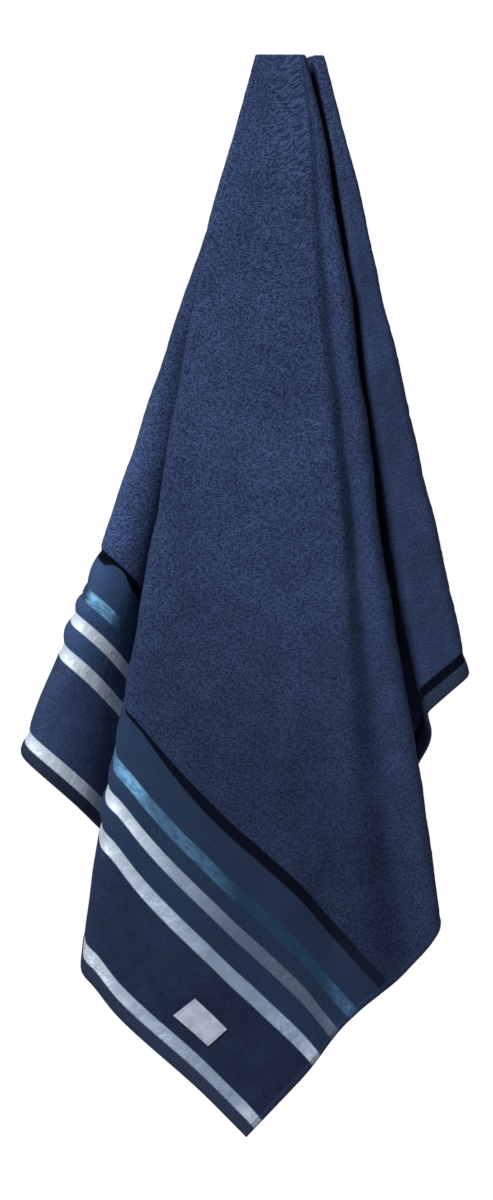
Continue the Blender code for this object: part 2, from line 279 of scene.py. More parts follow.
def along_table(value, stations, entries):
    """A smooth curve through a table: cubic pieces whose slopes are those of the table."""
    stations = np.asarray(stations)
    entries = np.asarray(entries)
    slopes = np.gradient(entries, stations)
    value = np.clip(value, stations[0], stations[-1])
    piece = np.clip(np.searchsorted(stations, value) - 1, 0, len(stations) - 2)
    span = stations[piece + 1] - stations[piece]
    t = (value - stations[piece]) / span
    start = (2 * t**3 - 3 * t**2 + 1) * entries[piece] + (t**3 - 2 * t**2 + t) * span * slopes[piece]
    end = (3 * t**2 - 2 * t**3) * entries[piece + 1] + (t**3 - t**2) * span * slopes[piece + 1]
    return start + end


def fold_sides():
    """+1 or -1 for each fold: the side of its nose on which the cloth comes in."""
    sides = [1.0]
    for before, fold, after in zip(FOLDS, FOLDS[1:], FOLDS[2:]):
        nose = np.radians(fold.to)
        left = np.array((-np.sin(nose), np.cos(nose)))
        turn = np.dot(np.subtract(after.low, before.low), left)
        sides.append(1.0 if turn > 0 else -1.0)
    return sides + [1.0]


def guide_points(radius):
    """The guide polygon of the plan at each distance from the hanging point, in degrees.

    A fold gives its two nose points and its leg ends, which are nearer at the top edge, and a plain bend
    or an edge gives one point. Returns the points, shaped (..., points, 2), and the place of each fold's
    nose among them.
    """
    shift = ease(radius, TOP_OF_FOLDS, LOW_OF_FOLDS)
    legs = LEGS_AT_TOP + (1.0 - LEGS_AT_TOP) * shift
    points = []
    noses = []
    for fold, side in zip(FOLDS, fold_sides()):
        across = fold.top[0] + (fold.low[0] - fold.top[0]) * shift
        if fold.name in FOLD_LINES:
            across = along_table(radius, LINE_RADII, FOLD_LINES[fold.name])
        deep = fold.top[1] + (fold.low[1] - fold.top[1]) * shift
        if fold.half == 0.0:
            local = [(0.0, 0.0)]
            noses.append(float(len(points)))
        else:
            local = [(0.0, -fold.half * side), (0.0, fold.half * side)]
            noses.append(len(points) + (1.5 if fold.leg_in else 0.5))
            if fold.leg_in:
                local.insert(0, (-fold.leg_in * legs, -fold.half * side))
            if fold.leg_out:
                local.append((-fold.leg_out * legs, fold.half * side))
        nose = np.radians(fold.to)
        for ahead, aside in local:
            points.append(np.stack((across + np.cos(nose) * ahead - np.sin(nose) * aside,
                                    deep + np.sin(nose) * ahead + np.cos(nose) * aside), axis=-1))
    return np.stack(points, axis=-2), np.array(noses)


def guide_weights(place, count):
    """Weights of a quadratic B-spline through count guide points, at places 0 to count - 1."""
    corner = np.clip(np.rint(place), 1, count - 2).astype(int)
    first = corner == 1
    last = corner == count - 2
    start = np.where(first, 0.0, corner - 0.5)
    end = np.where(last, count - 1.0, corner + 0.5)
    t = (place - start) / (end - start)
    before = (1 - t) ** 2
    middle = 2 * t * (1 - t)
    after = t ** 2
    row = np.arange(len(place))
    weights = np.zeros((len(place), count))
    weights[row, corner - 1] += before * np.where(first, 1.0, 0.5)
    weights[row, corner] += middle + before * np.where(first, 0.0, 0.5) + after * np.where(last, 0.0, 0.5)
    weights[row, corner + 1] += after * np.where(last, 1.0, 0.5)
    return weights


def place_on_guide(cloth):
    """Where each cloth angle lies along the guide: even along the cloth from fold to fold."""
    guide, noses = guide_points(np.array(REFERENCE))
    dense = np.linspace(0.0, len(guide) - 1.0, 40 * len(guide))
    path = guide_weights(dense, len(guide)) @ guide
    run = np.concatenate(([0.0], np.cumsum(np.hypot(*np.diff(path, axis=0).T))))
    fold_run = np.interp(noses, dense, run)
    fold_cloth = [fold.cloth for fold in FOLDS]
    return np.interp(np.interp(cloth, fold_cloth, fold_run), run, dense)


def hem_radius(cloth):
    """Distance from the hanging point to the cloth's edge: striped end, front selvedge, plain end."""
    angle = np.radians(cloth)
    tiny = 1e-9
    striped = STRIPED_REACH / np.maximum(np.cos(angle), tiny)
    plain = PLAIN_REACH / np.maximum(-np.cos(angle), tiny)
    side = WIDTH / np.maximum(np.sin(angle), tiny)
    return np.minimum(np.minimum(striped, plain), side)


def take_up(cloth):
    """Length of cloth gathered above the top edge at each cloth angle."""
    return 0.001 * np.interp(cloth, [fold.cloth for fold in FOLDS], [fold.take_up for fold in FOLDS])


def relief(cloth, radius):
    """How far the creases push the cloth to the front, and draw it aside in degrees.

    Each crease is a squared cosine across and a squared sine along.
    """
    height = np.zeros(np.broadcast(cloth, radius).shape)
    drawn = np.zeros(height.shape)
    for crease in CREASES:
        beside = cloth - crease.cloth
        beside = np.clip(beside / np.where(beside < 0, crease.before, crease.after), -1.0, 1.0)
        along = np.clip((radius - crease.start) / (crease.end - crease.start), 0.0, 1.0)
        share = np.cos(beside * np.pi / 2) ** 2 * np.sin(along * np.pi) ** 2
        height = height + crease.height * share
        drawn = drawn + crease.aside * share
    return height, drawn


def hang(cloth, radius):
    """The hanging place, x, y, z, of each point of the cloth.

    The guide polygon at the point's distance, blended by the weights of its cloth angle, gives the two
    plan angles, and the point lies in that direction at that distance. The creases come on top.
    """
    cloth, radius = np.broadcast_arrays(cloth, radius)
    guide = guide_points(radius)[0]
    weights = guide_weights(place_on_guide(cloth).ravel(), guide.shape[-2]).reshape(cloth.shape + (-1, 1))
    height, drawn = relief(cloth, radius)
    plan = (weights * guide).sum(axis=-2)
    x = radius * np.sin(np.radians(plan[..., 0] + drawn))
    y = radius * np.sin(np.radians(plan[..., 1])) - height
    z = np.sqrt(radius**2 - x**2 - y**2)
    return np.stack((HANG_X + x, y, HANG_Z - z), axis=-1)


def top_radius(cloth):
    """Distance from the hanging point at which each column crosses the level top edge."""
    radius = np.full(len(cloth), HANG_Z)
    for step in range(3):
        radius = radius * HANG_Z / (HANG_Z - hang(cloth, radius)[..., 2])
    return radius


def flat_place(cloth, radius):
    """Distance from the front selvedge and from the striped end, by plain trigonometry on the flat cloth."""
    full = radius + take_up(cloth)
    angle = np.radians(cloth)
    return WIDTH - full * np.sin(angle), STRIPED_REACH - full * np.cos(angle)


# Where the weave lies nearer the hem, or farther from it below 0: cloth angle, widths to either side of it
# in degrees, distance.
Pull = namedtuple("Pull", "name cloth before after distance")
PULLS = [Pull(*row) for row in (
    #  name                      cloth before after distance
    ("sag of the front panel",    43.2,  4.6,  3.8,  0.0059),
    ("drawn up in the groove",    51.0,  1.7,  2.2, -0.0032),
)]


def pulled(cloth, woven):
    """How far the weave lies toward the hem: bell curves over the cloth angle, from 0 at the hem to full."""
    total = np.zeros(np.broadcast(cloth, woven).shape)
    for pull in PULLS:
        width = np.where(cloth < pull.cloth, pull.before, pull.after)
        total = total + pull.distance * np.exp(-((cloth - pull.cloth) / width) ** 2)
    return total * ease(woven, 0.0, STRIPES_START)


def woven_end(cloth, from_end):
    """Distance from the striped end by the weave: the flat one plus the pull, closed in on in three steps."""
    woven = from_end
    for step in range(3):
        woven = from_end + pulled(cloth, woven)
    return woven


def fan_place(from_side, from_end):
    """Cloth angle and hanging distance of a flat place: the other way round."""
    beside = WIDTH - from_side
    below = STRIPED_REACH - from_end
    cloth = np.degrees(np.arctan2(beside, below))
    return cloth, np.hypot(beside, below) - take_up(cloth)


# ---------------- thickness and unevenness of the cloth
def window(value, start, end, soft):
    """1 between start and end and 0 outside, with S-curve edges of a soft width."""
    return ease(value, start - soft / 2, start + soft / 2) * (1 - ease(value, end - soft / 2, end + soft / 2))


def near_fold(cloth):
    """1 at the two left folds, down to STANDS_FLAT on the flat panels, by a bell curve at each fold."""
    turned = np.zeros(cloth.shape)
    for fold in FOLDS:
        if fold.name in STANDS_OVER:
            turned = turned + np.exp(-((cloth - fold.cloth) / STANDS_OVER[fold.name]) ** 2)
    return STANDS_FLAT + (1.0 - STANDS_FLAT) * np.clip(turned, 0.0, 1.0)


def half_thickness(from_side, from_end):
    """Half the cloth's thickness: the pile's, with soft windows for the bands, hems and selvedges."""
    half = np.full(from_end.shape, TERRY_HALF)
    for band in BANDS:
        half += (band.half - TERRY_HALF) * window(from_end, band.start, band.end, STEP_SOFT)
    from_plain = LENGTH - from_end
    half += (HEM_HALF - TERRY_HALF) * window(from_plain, -1.0, PLAIN_END_HEM, STEP_SOFT)
    half += (FLAT_HALF - TERRY_HALF) * window(from_plain, PLAIN_END_HEM, PLAIN_END_STRIPE, STEP_SOFT)
    for from_selvedge in (from_side, WIDTH - from_side):
        half += (PRESSED_HALF - half) * window(from_selvedge, SIDE_HEM, SIDE_HEM + PRESSED_WIDTH, STEP_SOFT)
        half += (SELVEDGE_HALF - half) * window(from_selvedge, -1.0, SIDE_HEM, STEP_SOFT)
    return half


def rounded(half, from_edge):
    """The half thickness close to an edge: a quarter circle of that radius, down to 0 at the edge."""
    step = np.clip(from_edge / half, 0.0, 1.0)
    return half * np.sqrt(1 - (1 - step) ** 2)


def standing_out(cloth, from_end):
    """How far the border's bands stand out of the cloth: an arch over each, highest at the left folds."""
    height = np.zeros(from_end.shape)
    for band in BANDS:
        t = np.clip((from_end - band.start) / (band.end - band.start), 0.0, 1.0)
        height = height + band.stands * np.sin(t * np.pi) ** ARCH
    return height * near_fold(cloth)


def waviness(from_side, from_end):
    """Sum of the sine waves over the flat cloth."""
    height = np.zeros(from_side.shape)
    for wave in WAVES:
        way = np.radians(wave.direction)
        along = from_side * np.cos(way) + from_end * np.sin(way)
        height = height + wave.height * np.sin(2 * np.pi * along / wave.length + wave.start)
    return height


def facing(grid):
    """Unit normals of a grid of points: the cross product of its steps down and across. They face front."""
    down, across = np.gradient(grid, axis=(0, 1))
    normal = np.cross(down, across)
    return normal / np.linalg.norm(normal, axis=-1, keepdims=True)


# ---------------- meshes
def closed_sheet(name, front, back, flat):
    """A closed cloth from the grids of its two faces, which share the points of their edges.

    The faces of the front face out of it and those of the back the other way. "cloth" maps each corner to
    the flat cloth in metres, and "OFBake" lays the two faces side by side in one square.
    """
    rows, cols = front.shape[:2]
    number = np.arange(rows * cols).reshape(rows, cols)
    inner = np.arange((rows - 2) * (cols - 2)).reshape(rows - 2, cols - 2) + rows * cols
    behind = number.copy()
    behind[1:-1, 1:-1] = inner
    points = np.concatenate((front.reshape(-1, 3), back[1:-1, 1:-1].reshape(-1, 3)))
    before = np.stack((number[:-1, :-1], number[1:, :-1], number[1:, 1:], number[:-1, 1:]), axis=-1)
    after = np.stack((behind[:-1, :-1], behind[:-1, 1:], behind[1:, 1:], behind[1:, :-1]), axis=-1)
    faces = np.concatenate((before.reshape(-1, 4), after.reshape(-1, 4)))
    mesh = bpy.data.meshes.new(name)
    mesh.from_pydata(points.tolist(), [], faces.tolist())
    mesh.shade_smooth()

    places = np.concatenate((flat.reshape(-1, 2), flat[1:-1, 1:-1].reshape(-1, 2)))[faces].reshape(-1, 2)
    low, high = flat.reshape(-1, 2).min(axis=0), flat.reshape(-1, 2).max(axis=0)
    share = (places - low) / (high - low)
    side = np.repeat((0.0, 1.0), before.size)
    laid = np.stack(((share[:, 0] * 0.98 + 0.01 + side) / 2, share[:, 1] * 0.98 + 0.01), axis=1)
    for layer_name, values in (("cloth", places), ("OFBake", laid)):
        layer = mesh.uv_layers.new(name=layer_name)
        layer.data.foreach_set("uv", values.astype(np.float32).ravel())
    return placed(name, mesh)


def columns():
    """Cloth angle of every grid column: closer together at the folds and at the two back selvedges."""
    angles = [FOLDS[0].cloth]
    for before, fold in zip(FOLDS, FOLDS[1:]):
        even = np.arange(1, fold.steps + 1) / fold.steps
        crowded = even - CROWDING * np.sin(2 * np.pi * even) / (2 * np.pi)
        angles.extend(before.cloth + (fold.cloth - before.cloth) * crowded)
    angles = np.sort(np.concatenate((angles, SELVEDGE_COLUMNS, 180.0 - SELVEDGE_COLUMNS)))
    for corner in (np.degrees(np.arctan2(WIDTH, STRIPED_REACH)),
                   180.0 - np.degrees(np.arctan2(WIDTH, PLAIN_REACH))):
        angles[np.argmin(np.abs(angles - corner))] = corner
    return angles


def border_rows():
    """Distances from the striped end of the grid rows along the border, from its top down to the hem."""
    rows = [BORDER + ABOVE_BORDER]
    for band in BANDS[::-1]:
        steps = max(3, int(round((band.end - band.start) / BORDER_STEP)))
        rows.append(band.end + (band.start - band.end) * np.arange(steps) / steps)
    return np.concatenate(rows + [EDGE_ROWS[::-1]])


def towel_rows(cloth):
    """Hanging distance of each grid point, (rows, columns): the top edge's rows, even ones, the border's."""
    top = top_radius(cloth) + take_up(cloth)
    edge = top + EDGE_ROWS[:, None]
    hem = hem_radius(cloth)
    woven = border_rows()[:, None]
    border = hem * (1 - (woven - pulled(cloth, woven)) / STRIPED_REACH)
    even = np.linspace(0.0, 1.0, BODY_ROWS)[1:-1, None]
    body = edge[-1:] + (border[:1] - edge[-1:]) * even
    return np.concatenate((edge, body, border)) - take_up(cloth)


def towel():
    """The towel's two faces, half a thickness to either side of its hanging middle.

    Bands that stand out and waves move both faces alike, and the pile's loops move each face at random.
    """
    cloth = columns()
    radius = towel_rows(cloth)
    cloth = np.broadcast_to(cloth, radius.shape)
    from_side, from_end = flat_place(cloth, radius)
    middle = hang(cloth, radius)
    outward = facing(middle)
    squeezed = SQUEEZED + (1.0 - SQUEEZED) * ease(radius, SQUEEZE_FROM, SQUEEZE_TO)
    woven = woven_end(cloth, from_end)
    half = half_thickness(from_side, woven) * squeezed
    from_edge = np.minimum.reduce((from_side, WIDTH - from_side, from_end, LENGTH - from_end,
                                   radius - radius[:1]))
    half = rounded(half, np.maximum(from_edge, 0.0))
    waves = waviness(from_side, from_end) * ease(radius, WAVES_FROM, WAVES_TO)
    middle = middle + outward * (standing_out(cloth, woven) + waves)[..., None]
    loops = np.random.default_rng(LOOPS_SEED).normal(size=(2,) + radius.shape) * LOOP_HEIGHT
    loops = loops * ease(woven, BORDER, BORDER + 0.004) * ease(from_edge, 0.0, 0.004)
    front = middle + outward * (half + loops[0])[..., None]
    back = middle - outward * (half + loops[1])[..., None]
    return closed_sheet("towel_cloth", front, back, np.stack((from_side, woven), axis=-1))


def closer_at_ends(near, count):
    """Shares 0 to 1 of a side: those of near at one end, mirrored at the other, and even ones between."""
    near = np.array(near)
    return np.concatenate((near[:-1], np.linspace(near[-1], 1.0 - near[-1], count), 1.0 - near[-2::-1]))


def label():
    """The label: a rectangle of the flat cloth, laid on the towel's front face, with rounded edges."""
    along, up = np.meshgrid(closer_at_ends((0.0, 0.006, 0.018, 0.04), 24),
                            closer_at_ends((0.0, 0.010, 0.030, 0.06), 16))
    from_side = LABEL_FROM_SIDE + (along - 0.5) * LABEL_LONG
    from_end = LABEL_FROM_END + (0.5 - up) * LABEL_SHORT
    cloth, radius = fan_place(from_side, from_end)
    middle = hang(cloth, radius)
    outward = -facing(middle)
    uneven = standing_out(cloth, from_end) + waviness(from_side, from_end)
    from_edge = np.minimum.reduce((along * LABEL_LONG, (1 - along) * LABEL_LONG,
                                   up * LABEL_SHORT, (1 - up) * LABEL_SHORT))
    half = rounded(np.full(along.shape, LABEL_HALF), from_edge)
    rise = TERRY_HALF + GAP + LABEL_HALF + LABEL_BULGE * ease(from_edge, BULGE_FROM, BULGE_TO)
    middle = middle + outward * (uneven + rise)[..., None]
    front = middle + outward * half[..., None]
    back = middle - outward * half[..., None]
    return closed_sheet("label_tape", back, front, np.stack((from_side, from_end), axis=-1))


towel_cloth = towel()
label_tape = label()


# ---------------- node helpers
class Nodes:
    """Short ways to add and link the nodes of one material or group."""

    def __init__(self, tree):
        self.tree = tree

    def add(self, kind, **settings):
        """A new node of this kind with these properties."""
        node = self.tree.nodes.new("ShaderNode" + kind)
        for name, value in settings.items():
            setattr(node, name, value)
        return node

    def feed(self, socket, value):
        """Link a node's output to this socket, or give it a plain value."""
        if isinstance(value, bpy.types.NodeSocket):
            self.tree.links.new(value, socket)
        else:
            socket.default_value = value

    def math(self, operation, first, second=0.0, clamp=False):
        """One operation on two values, kept within 0 to 1 if clamp."""
        node = self.add("Math", operation=operation, use_clamp=clamp)
        self.feed(node.inputs[0], first)
        self.feed(node.inputs[1], second)
        return node.outputs[0]

    def chain(self, operation, *values):
        """One operation carried through all the values: their sum, product or largest."""
        return reduce(lambda first, second: self.math(operation, first, second), values)

    def between(self, value, low, high, to_low=0.0, to_high=1.0, smooth=True):
        """to_low at low, to_high at high, an S-curve or a straight line between and level beyond."""
        node = self.add("MapRange", interpolation_type="SMOOTHSTEP" if smooth else "LINEAR")
        for name, given in (("Value", value), ("From Min", low), ("From Max", high),
                            ("To Min", to_low), ("To Max", to_high)):
            self.feed(node.inputs[name], given)
        return node.outputs["Result"]

    def mix(self, factor, first, second, blend="MIX"):
        """From the first colour to the second, or to the two blended, by factor."""
        node = self.add("Mix", data_type="RGBA", blend_type=blend)
        self.feed(node.inputs["Factor"], factor)
        self.feed(node.inputs[6], first)
        self.feed(node.inputs[7], second)
        return node.outputs[2]

    def stretched(self, place, scale):
        """A place with scaled axes: a pattern on it is drawn out where the scale is below 1."""
        node = self.add("Mapping")
        self.feed(node.inputs["Vector"], place)
        node.inputs["Scale"].default_value = scale
        return node.outputs["Vector"]

    def noise(self, place, scale, detail=2.0, roughness=0.5):
        """Soft noise over a place, about scale spots to the metre."""
        node = self.add("TexNoise", noise_dimensions="2D")
        self.feed(node.inputs["Vector"], place)
        self.feed(node.inputs["Scale"], scale)
        node.inputs["Detail"].default_value = detail
        node.inputs["Roughness"].default_value = roughness
        return node.outputs["Fac"]

    def group(self, tree, **values):
        """The outputs of a node group with these values; an underscore in a name is a space."""
        node = self.add("Group", node_tree=tree)
        for name, value in values.items():
            self.feed(node.inputs[name.replace("_", " ")], value)
        return node.outputs

    def bump(self, shader, height, strength, distance):
        """Raise the shader's surface by a height."""
        node = self.add("Bump")
        node.inputs["Strength"].default_value = strength
        node.inputs["Distance"].default_value = distance
        self.feed(node.inputs["Height"], height)
        self.feed(shader.inputs["Normal"], node.outputs["Normal"])


def new_group(name, inputs, outputs):
    """A shader node group; inputs are name: default, and a default of None makes a vector."""
    tree = bpy.data.node_groups.new(name, "ShaderNodeTree")
    for socket, value in inputs.items():
        kind = "NodeSocketVector" if value is None else "NodeSocketFloat"
        made = tree.interface.new_socket(socket, in_out="INPUT", socket_type=kind)
        if value is not None:
            made.default_value = value
    for socket in outputs:
        tree.interface.new_socket(socket, in_out="OUTPUT", socket_type="NodeSocketFloat")
    nodes = Nodes(tree)
    given = tree.nodes.new("NodeGroupInput").outputs
    result = tree.nodes.new("NodeGroupOutput").inputs
    return tree, nodes, given, result


# ---------------- shared effects
PILE_LEAN = 0.6              # turn of the loops' diagonal on the cloth, in radians
PILE_STRETCH = 0.68          # below 1, the loops are longer along the diagonal than across it
CLUMPS_PER_LOOP = 0.34
CLUMP_SHARE = 0.4            # strength of the clumps beside that of the loops


def stripe_group():
    """Mask of a woven stripe: how far inside its start the place is, times how far inside its end."""
    tree, n, given, result = new_group(
        "stripe", {"Place": 0.0, "Start": 0.0, "End": 1.0, "Softness": 0.001}, ["Mask"])
    inside = n.math("DIVIDE", n.math("SUBTRACT", given["Place"], given["Start"]), given["Softness"])
    before = n.math("DIVIDE", n.math("SUBTRACT", given["End"], given["Place"]), given["Softness"])
    rising = n.math("ADD", inside, 0.5, clamp=True)
    falling = n.math("ADD", before, 0.5, clamp=True)
    n.feed(result["Mask"], n.math("MULTIPLY", rising, falling))
    return tree


def pile_group():
    """Terry pile: a close grain of loops that lean along one diagonal, over softer clumps of them.

    The grain is a noise stretched along the diagonal plus a weaker coarser one. Tips is the grain spread
    around 0.5 by Contrast, and Height the grain with a fixed spread.
    """
    tree, n, given, result = new_group(
        "terry pile", {"Cloth": None, "Loops per metre": 1400.0, "Contrast": 1.0}, ["Height", "Tips"])
    leaning = n.add("Mapping")
    n.feed(leaning.inputs["Vector"], given["Cloth"])
    leaning.inputs["Rotation"].default_value = (0.0, 0.0, PILE_LEAN)
    leaning.inputs["Scale"].default_value = (1.0, PILE_STRETCH, 1.0)
    fine = n.noise(leaning.outputs["Vector"], given["Loops per metre"], detail=1.5, roughness=0.55)
    clumps = n.math("MULTIPLY", given["Loops per metre"], CLUMPS_PER_LOOP)
    coarse = n.math("SUBTRACT", n.noise(given["Cloth"], clumps, detail=1.0), 0.5)
    grain = n.math("ADD", n.math("SUBTRACT", fine, 0.5), n.math("MULTIPLY", coarse, CLUMP_SHARE))
    n.feed(result["Height"], n.math("ADD", n.math("MULTIPLY", grain, 2.2), 0.5))
    spread = n.chain("MULTIPLY", grain, given["Contrast"], 3.5)
    n.feed(result["Tips"], n.math("ADD", spread, 0.5, clamp=True))
    return tree


def weave_group():
    """Plain weave: two crossed sets of threads as rectified sines, plus slubs that run along one thread.

    Height is the threads' relief and Streak the slubs' lightness along the stripes.
    """
    tree, n, given, result = new_group(
        "plain weave", {"Cloth": None, "Threads per metre": 1500.0, "Slubs": 0.5}, ["Height", "Streak"])
    parts = n.add("SeparateXYZ")
    n.feed(parts.inputs[0], given["Cloth"])
    turns = n.math("MULTIPLY", given["Threads per metre"], np.pi)
    warp = n.math("ABSOLUTE", n.math("SINE", n.math("MULTIPLY", parts.outputs["X"], turns)))
    weft = n.math("ABSOLUTE", n.math("SINE", n.math("MULTIPLY", parts.outputs["Y"], turns)))
    slubs = n.noise(n.stretched(given["Cloth"], (0.035, 1.0, 1.0)), 1300.0, detail=3.0, roughness=0.65)
    slubs = n.math("MULTIPLY", n.math("SUBTRACT", slubs, 0.5), given["Slubs"])
    n.feed(result["Height"], n.math("ADD", n.math("MULTIPLY", warp, weft), slubs))
    n.feed(result["Streak"], n.math("ADD", slubs, 0.5))
    return tree


def stitch_group():
    """A row of sewn stitches: short dashes along one direction, on a thin line at Line across the other.

    Mask is 1 on the thread, and Height is the thread's dome less the pressed groove around it.
    """
    tree, n, given, result = new_group(
        "stitches", {"Across": 0.0, "Along": 0.0, "Line": 0.0, "Pitch": 0.0028, "Thread": 0.0005},
        ["Mask", "Height"])
    off = n.math("ABSOLUTE", n.math("SUBTRACT", given["Across"], given["Line"]))
    share = n.math("DIVIDE", off, given["Thread"])
    line = n.math("SUBTRACT", 1.0, share, clamp=True)
    part = n.math("FRACT", n.math("DIVIDE", given["Along"], given["Pitch"]))
    dash = n.math("MULTIPLY", n.between(part, 0.06, 0.20), n.between(part, 0.94, 0.80))
    mask = n.math("MULTIPLY", n.math("POWER", line, 0.5), dash)
    groove = n.math("SUBTRACT", 1.0, n.math("DIVIDE", share, 3.0), clamp=True)
    n.feed(result["Mask"], mask)
    n.feed(result["Height"], n.math("SUBTRACT", mask, groove))
    return tree


STRIPE = stripe_group()
PILE = pile_group()
WEAVE = weave_group()
STITCHES = stitch_group()


def stripe_mask(n, place, start, stop):
    """Mask of the cloth between two distances."""
    return n.group(STRIPE, Place=place, Start=start, End=stop, Softness=STRIPE_SOFT)["Mask"]


def by_angle(n, angle, table):
    """The value of a table at a cloth angle in radians, by a ramp of greys."""
    ramp = n.add("ValToRGB")
    n.feed(ramp.inputs["Fac"], n.math("MULTIPLY", angle, 1.0 / np.pi))
    stops = ramp.color_ramp.elements
    for row in table[2:]:
        stops.new(row[0] / WHOLE_FAN)
    for stop, (degrees, value) in zip(stops, table):
        stop.position = degrees / WHOLE_FAN
        stop.color = (value, value, value, 1.0)
    return ramp.outputs["Color"]


def shaded(n, colour, value):
    """The colour times a value."""
    grey = n.add("CombineColor")
    for name in ("Red", "Green", "Blue"):
        n.feed(grey.inputs[name], value)
    return n.mix(1.0, colour, grey.outputs["Color"], "MULTIPLY")


def cloth_material(name, roughness, sheen, sheen_tint, specular):
    """A material, its nodes and shader, and its flat place: as a vector, from the selvedge, from the end."""
    made = bpy.data.materials.new(name)
    made.use_nodes = True
    tree = made.node_tree
    n = Nodes(tree)
    shader = tree.nodes["Principled BSDF"]
    for socket, value in (("Roughness", roughness), ("Sheen Weight", sheen), ("Sheen Roughness", 0.45),
                          ("Sheen Tint", sheen_tint), ("Specular IOR Level", specular)):
        shader.inputs[socket].default_value = value
    flat = n.add("UVMap", uv_map="cloth").outputs["UV"]
    parts = n.add("SeparateXYZ")
    n.feed(parts.inputs[0], flat)
    return made, n, shader, flat, parts.outputs["X"], parts.outputs["Y"]


# ---------------- the towel's colours and finishes
# Colours are linear.
PILE_DEEP = (0.0110, 0.0225, 0.0640, 1.0)
PILE_TIP = (0.0520, 0.0790, 0.1700, 1.0)
FLAT_NAVY = (0.0215, 0.0420, 0.0960, 1.0)
FLAT_LIGHT = (0.0290, 0.0540, 0.1180, 1.0)
HEM_NAVY = (0.0240, 0.0360, 0.0690, 1.0)
SILVER_LOW = (0.185, 0.255, 0.380, 1.0)
SILVER_HIGH = (0.770, 0.880, 1.000, 1.0)
SILVER_DULL = (0.095, 0.125, 0.185, 1.0)
# the blue stripe under its painted highlight, and its dark navy without it
BLUE_HIGHLIT = (0.215, 0.490, 0.800, 1.0)
BLUE_UNLIT = (0.0150, 0.0390, 0.0870, 1.0)
NEAR_BLACK = (0.0016, 0.0030, 0.0100, 1.0)

STRIPE_SOFT = 0.0007         # width over which one woven colour gives way to the next
HEM_STITCHES = 0.0062        # distance of the stitches from the ends and from the selvedges
SELVEDGE_STITCHES = 0.0026
PAINTED_LIGHT_FROM, PAINTED_LIGHT_FULL = 0.24, 0.12          # distances from the striped end between which the painted light and shade takes hold
TERRY_ROUGHNESS = 0.92
FLAT_ROUGHNESS = 0.72
SATIN_SMOOTHER = 0.30        # how much less rough the satin is than the flat-woven cloth
SATIN_METALLIC = 0.20

# How the colours change along the fan, mostly painted light and shade: tables of cloth angle in degrees and
# the value there.
WHOLE_FAN = 180.0
# painted highlight on the silver: how much it shines at each cloth angle
SILVER_PAINTED_HIGHLIGHT = ((0.0, 0.6), (15.0, 0.9), (17.0, 1.8), (20.0, 1.8), (21.5, 1.2), (23.0, 0.5), (30.0, 0.2),
         (33.5, 0.8), (34.8, 1.0), (37.4, 0.95), (39.8, 0.45), (43.0, 0.12), (57.0, 0.12))
# painted highlight on the blue stripe: how bright it is at each cloth angle
BLUE_PAINTED_HIGHLIGHT = ((0.0, 0.5), (15.0, 0.1), (17.1, 0.1), (17.8, 1.3), (19.8, 1.3), (20.8, 0.1), (33.6, 0.3),
            (35.0, 0.9), (37.6, 1.0), (38.8, 0.42), (40.2, 0.20), (43.2, 0.36), (43.8, 0.03), (49.2, 0.03),
            (50.4, 0.18), (51.6, 0.03))
# the share of its width that the border's black stripe has, and how black it is: its narrowing and lightening
# are painted sheen on the satin
BLACK_WIDTH = ((0.0, 1.0), (17.8, 1.0), (18.4, 0.3), (19.8, 0.3), (20.8, 1.0), (33.0, 1.0),
               (34.5, 0.25), (38.0, 0.35), (40.5, 0.8), (42.0, 1.0))
BLACK_DEPTH = ((0.0, 1.0), (48.0, 1.0), (51.0, 0.85), (53.0, 0.5), (56.0, 0.3), (60.0, 1.0))
# painted light and shade on the pile and the navy bands close to the striped end: lighter on the left panel,
# darker on the front panel's lower right
PAINTED_LIGHT_AND_SHADE = ((0.0, 1.0), (15.0, 1.3), (16.5, 1.7), (20.0, 1.7), (23.0, 1.2), (33.0, 1.0), (36.5, 0.96),
            (39.0, 0.76), (43.5, 0.66), (46.0, 0.68), (49.0, 0.62), (51.5, 0.60), (53.6, 0.57),
            (55.5, 0.76), (60.0, 1.0))


def terry_pile(n, flat, side, end, painted_light):
    """Colour and height of the terry: lighter tips over a deep ground, times cloudy and brushed patches and
    the painted light and shade.

    The tips show less near the front selvedge and in the darker label band, and least by the plain end.
    """
    label_band = BAND["label band"].end
    contrast = n.chain("MULTIPLY", n.between(end, 0.62, 0.50, 0.22, 1.0),
                       n.between(side, 0.10, 0.36, 0.60, 1.0), n.between(end, BORDER, label_band, 1.0, 0.35))
    pile = n.group(PILE, Cloth=flat, Contrast=contrast)
    cloudy = n.between(n.noise(flat, 26.0, detail=3.0, roughness=0.6), 0.30, 0.72, 0.88, 1.10)
    brushed = n.between(n.noise(flat, 95.0, detail=3.0, roughness=0.6), 0.30, 0.72, -0.08, 0.08)
    shade = n.chain("MULTIPLY", n.math("ADD", cloudy, brushed), n.between(end, BORDER, label_band, 1.0, 0.76),
                    painted_light)
    return shaded(n, n.mix(pile["Tips"], PILE_DEEP, PILE_TIP), shade), pile["Height"]


